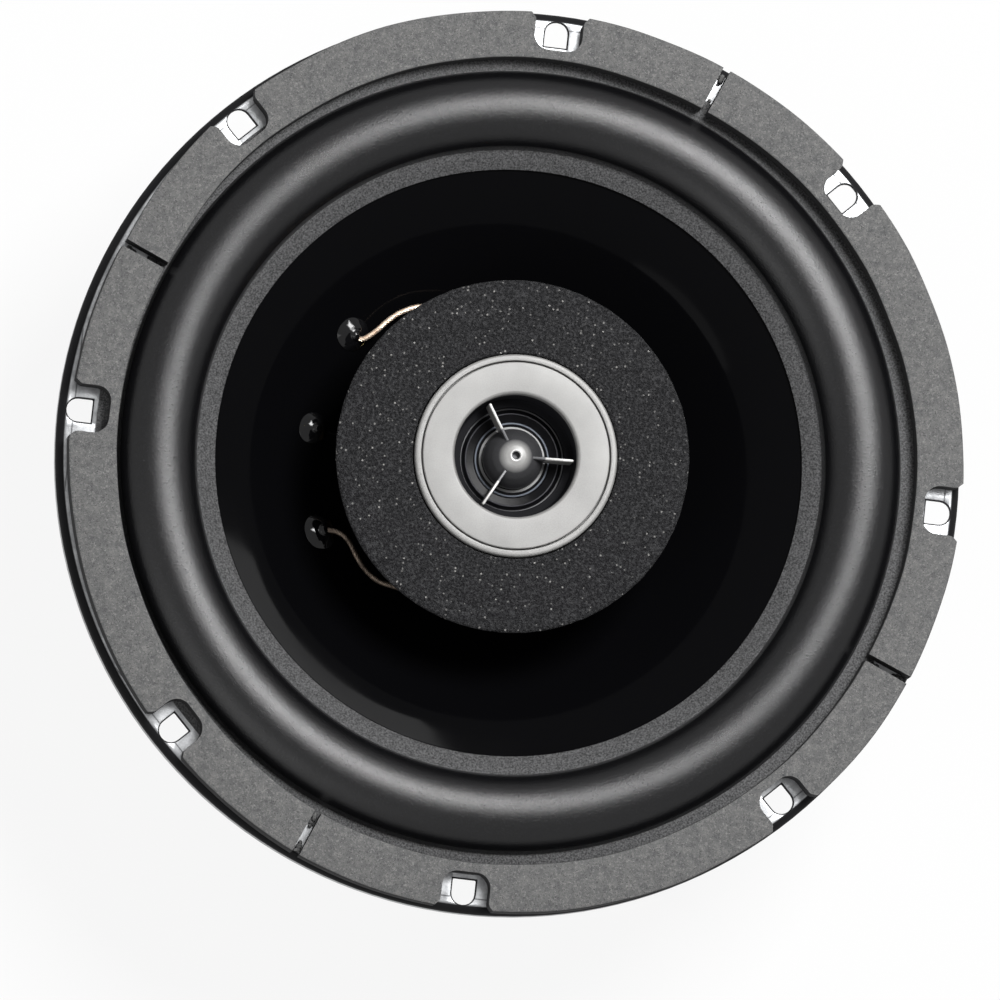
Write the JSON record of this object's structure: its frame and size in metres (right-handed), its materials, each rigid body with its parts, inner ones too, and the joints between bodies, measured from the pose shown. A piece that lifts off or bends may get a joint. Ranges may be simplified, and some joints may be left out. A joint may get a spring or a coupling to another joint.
{
  "type": "coaxial car speaker",
  "caption": "Round two-way car speaker with a stamped steel basket, a gloss cone in a rubber surround, and a tweeter on a post in a foam ring.",
  "frame": {"origin": "centre of the motor's rear face, which is the bottom centre of the whole speaker", "axes": "+Z along the speaker's axis towards the listener, -X towards the terminal board"},
  "size_m": [0.21, 0.21, 0.0937],
  "materials": {
    "basket_metal": "bright plated, satin",
    "motor_steel": "dark passivated",
    "ferrite": "matte sintered",
    "cork_rubber": "matte, mottled",
    "surround_rubber": "satin",
    "cone_film": "gloss",
    "spider_cloth": "resin-dipped cloth",
    "former_paper": "matte",
    "copper": "drawn",
    "eyelet_brass": "bright",
    "glue": "wet gloss",
    "phenolic": "matte laminate",
    "tinned_metal": "bright tinned",
    "black_plastic": "moulded",
    "satin_silver": "satin",
    "diaphragm_film": "gloss film",
    "tweeter_wire": "enamelled",
    "neodymium": "nickel plated",
    "foam": "open-cell foam"
  },
  "bodies": {
    "chassis": {"basket": "basket_metal", "yoke": "motor_steel", "ferrite_magnet": "ferrite", "top_plate": "motor_steel", "motor_rivet_1": "tinned_metal", "motor_rivet_2": "tinned_metal", "motor_rivet_3": "tinned_metal", "motor_rivet_4": "tinned_metal", "gasket_1": "cork_rubber", "gasket_2": "cork_rubber", "gasket_3": "cork_rubber", "gasket_4": "cork_rubber", "terminal_board": "phenolic", "terminal_positive": "tinned_metal", "terminal_negative": "tinned_metal", "tweeter_tag": "tinned_metal", "terminal_rivet_1": "tinned_metal", "terminal_rivet_2": "tinned_metal", "terminal_rivet_3": "tinned_metal", "board_rivet_1": "tinned_metal", "board_rivet_2": "tinned_metal", "crossover_capacitor": "black_plastic", "capacitor_wire_1": "tinned_metal", "capacitor_wire_2": "tinned_metal", "surround": "surround_rubber", "spider": "spider_cloth", "front_braid_1": "copper", "front_braid_2": "copper", "rear_braid_1": "copper", "rear_braid_2": "copper", "rear_braid_3": "copper", "tweeter_post": "black_plastic", "post_washer": "tinned_metal", "post_nut": "tinned_metal", "tweeter_housing": "satin_silver", "tweeter_front_ring": "satin_silver", "tweeter_throat": "black_plastic", "phase_plug": "satin_silver", "tweeter_yoke": "tinned_metal", "tweeter_magnet": "neodymium", "tweeter_pole_plate": "tinned_metal", "foam_ring": "foam"},
    "cone_assembly": {"cone": "cone_film", "voice_coil_former": "former_paper", "voice_coil_winding": "copper", "eyelet_1": "eyelet_brass", "eyelet_2": "eyelet_brass", "eyelet_3": "eyelet_brass", "glue_dot_1": "glue", "glue_dot_2": "glue", "glue_dot_3": "glue", "coil_lead_1": "glue", "coil_lead_2": "glue"},
    "tweeter_film": {"tweeter_diaphragm": "diaphragm_film", "tweeter_coil": "tweeter_wire"}
  },
  "joints": [
    {"name": "cone_travel", "type": "slide", "parent": "chassis", "child": "cone_assembly", "axis": [0, 0, 1], "range_m": [-0.005, 0.005], "stiffness_N_per_m": 1250, "deforming": ["surround", "spider", "front_braid_1", "front_braid_2", "rear_braid_1", "rear_braid_2", "rear_braid_3"]},
    {"name": "tweeter_travel", "type": "slide", "parent": "chassis", "child": "tweeter_film", "axis": [0, 0, 1], "range_m": [-0.0002, 0.0002], "stiffness_N_per_m": 75, "springref_m": 0.00017}
  ]
}
